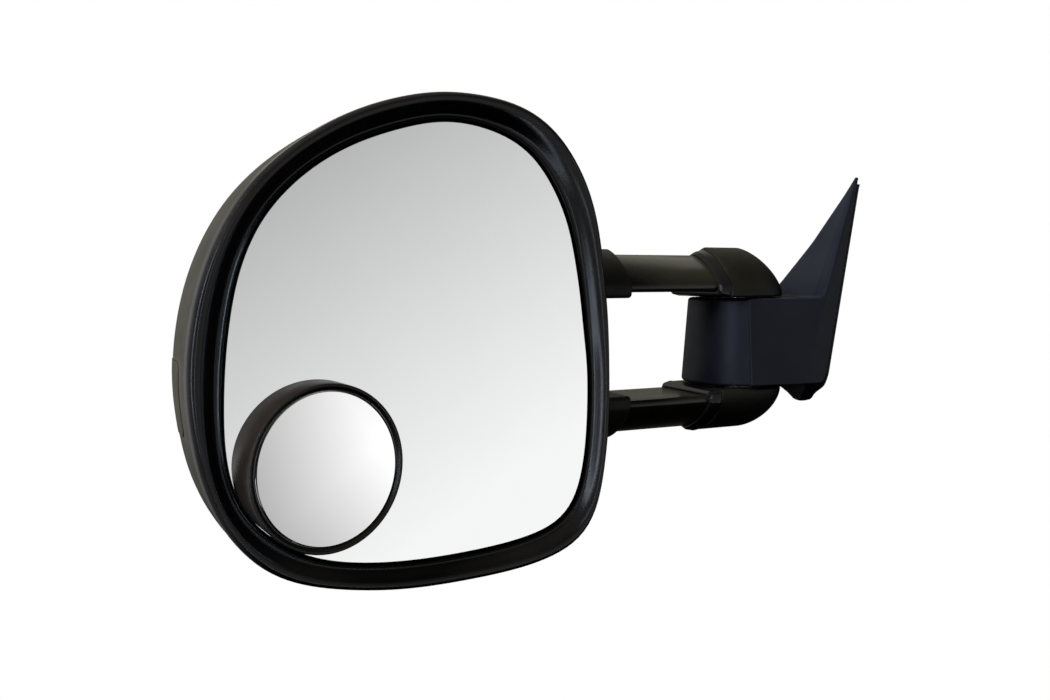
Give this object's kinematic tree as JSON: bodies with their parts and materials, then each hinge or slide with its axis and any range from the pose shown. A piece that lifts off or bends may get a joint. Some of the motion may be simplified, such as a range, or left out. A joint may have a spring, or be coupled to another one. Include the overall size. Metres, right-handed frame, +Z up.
{
  "type": "car side mirror",
  "caption": "Extendable towing side mirror: wide tilting glass with a rotating blind-spot mirror, a head on telescopic arms, and a folding hub on a door base.",
  "frame": {"origin": "point on the door's mounting face, level with the middle of the fold hub", "axes": "+X inboard towards the vehicle and along the arms, +Y to the front of the vehicle, +Z up"},
  "size_m": [0.5139, 0.1826, 0.2886],
  "materials": {
    "satin_black": "smooth satin black moulding",
    "textured_black": "fine grained black moulding",
    "base_black": "grained black moulding, slightly blue",
    "arm_black": "semi-gloss black powder coat on aluminium tube",
    "inner_plastic": "dark grey glass-filled moulding",
    "natural_plastic": "uncoloured acetal",
    "rubber": "soft black rubber",
    "cast_aluminium": "as cast",
    "steel": "zinc plated",
    "brass": "machined",
    "heater_film": "amber film with printed tracks",
    "mirror": "silvered glass"
  },
  "bodies": {
    "door_base": {"base_cover": "base_black", "hub_cover": "base_black", "base_casting": "cast_aluminium", "door_gasket": "rubber", "wiring_grommet": "rubber", "harness_cable": "rubber", "harness_plug": "inner_plastic", "stud_upper": "steel", "stud_front": "steel", "stud_rear": "steel", "upper_bush": "natural_plastic", "lower_bush": "natural_plastic", "detent_ring": "steel"},
    "arm_assembly": {"pivot_shaft": "steel", "thrust_washer": "steel", "shaft_nut": "steel", "detent_spring": "steel", "upper_elbow": "textured_black", "lower_elbow": "textured_black", "upper_arm": "arm_black", "lower_arm": "arm_black", "upper_arm_pin": "steel", "lower_arm_pin": "steel", "upper_arm_collar": "satin_black", "lower_arm_collar": "satin_black", "upper_arm_cap": "inner_plastic", "lower_arm_cap": "inner_plastic"},
    "head": {"head_shell": "textured_black", "front_bezel": "satin_black", "indicator_blank": "textured_black", "upper_sleeve": "textured_black", "lower_sleeve": "textured_black", "upper_liner_outer": "natural_plastic", "upper_liner_inner": "natural_plastic", "lower_liner_outer": "natural_plastic", "lower_liner_inner": "natural_plastic", "mounting_frame": "steel", "frame_screw_1": "steel", "frame_screw_2": "steel", "frame_screw_3": "steel", "actuator_housing": "inner_plastic", "actuator_cover": "inner_plastic", "vertical_motor": "steel", "horizontal_motor": "steel"},
    "gimbal": {"tilt_cross": "natural_plastic"},
    "glass_assembly": {"glass_carrier": "inner_plastic", "heater_pad": "heater_film", "main_glass": "mirror", "spot_base": "inner_plastic"},
    "spot_mirror": {"spot_housing": "satin_black", "spot_glass": "mirror"},
    "vertical_plunger": {"vertical_plunger": "natural_plastic"},
    "horizontal_plunger": {"horizontal_plunger": "natural_plastic"},
    "vertical_worm_wheel": {"vertical_worm_wheel": "natural_plastic"},
    "horizontal_worm_wheel": {"horizontal_worm_wheel": "natural_plastic"},
    "vertical_worm": {"vertical_worm": "brass"},
    "horizontal_worm": {"horizontal_worm": "brass"}
  },
  "joints": [
    {"name": "fold", "type": "hinge", "parent": "door_base", "child": "arm_assembly", "pos_m": [-0.06, 0, 0], "axis": [0, 0, 1], "range_deg": [-58, 58]},
    {"name": "telescope", "type": "slide", "parent": "arm_assembly", "child": "head", "axis": [-1, 0, 0], "range_m": [-0.065, 0.035]},
    {"name": "glass_vertical", "type": "hinge", "parent": "head", "child": "gimbal", "pos_m": [-0.34179, -0.06223, 0.0106], "axis": [0.9925, 0.1219, 0], "range_deg": [-5.5, 5.5]},
    {"name": "glass_horizontal", "type": "hinge", "parent": "gimbal", "child": "glass_assembly", "pos_m": [-0.34179, -0.06223, 0.0106], "axis": [0, 0, 1], "range_deg": [-5.5, 5.5]},
    {"name": "spot_rotate", "type": "hinge", "parent": "glass_assembly", "child": "spot_mirror", "pos_m": [-0.40626, -0.08123, -0.051], "axis": [0.1219, -0.9925, 0], "continuous": true},
    {"name": "vertical_drive_slide", "type": "slide", "parent": "head", "child": "vertical_plunger", "axis": [-0.1219, 0.9925, 0], "range_m": [-0.0022, 0.0022]},
    {"name": "horizontal_drive_slide", "type": "slide", "parent": "head", "child": "horizontal_plunger", "axis": [-0.1219, 0.9925, 0], "range_m": [-0.0022, 0.0022]},
    {"name": "vertical_wheel_turn", "type": "hinge", "parent": "head", "child": "vertical_worm_wheel", "pos_m": [-0.34313, -0.05132, -0.0114], "axis": [-0.1219, 0.9925, 0], "range_deg": [-155, 155]},
    {"name": "horizontal_wheel_turn", "type": "hinge", "parent": "head", "child": "horizontal_worm_wheel", "pos_m": [-0.3213, -0.04863, 0.0106], "axis": [-0.1219, 0.9925, 0], "range_deg": [-155, 155]},
    {"name": "vertical_worm_turn", "type": "hinge", "parent": "head", "child": "vertical_worm", "pos_m": [-0.34313, -0.05132, -0.0227], "axis": [0.9925, 0.1219, 0], "range_deg": [-1380, 1380]},
    {"name": "horizontal_worm_turn", "type": "hinge", "parent": "head", "child": "horizontal_worm", "pos_m": [-0.31008, -0.04726, 0.0106], "axis": [0, 0, 1], "range_deg": [-1380, 1380]}
  ],
  "couplings": [
    {"joint": "vertical_drive_slide", "follows": "glass_vertical", "m_per_rad": 0.022},
    {"joint": "vertical_wheel_turn", "follows": "glass_vertical", "ratio": 27.646},
    {"joint": "vertical_worm_turn", "follows": "glass_vertical", "ratio": 248.81},
    {"joint": "horizontal_drive_slide", "follows": "glass_horizontal", "m_per_rad": 0.022},
    {"joint": "horizontal_wheel_turn", "follows": "glass_horizontal", "ratio": 27.646},
    {"joint": "horizontal_worm_turn", "follows": "glass_horizontal", "ratio": 248.81}
  ]
}
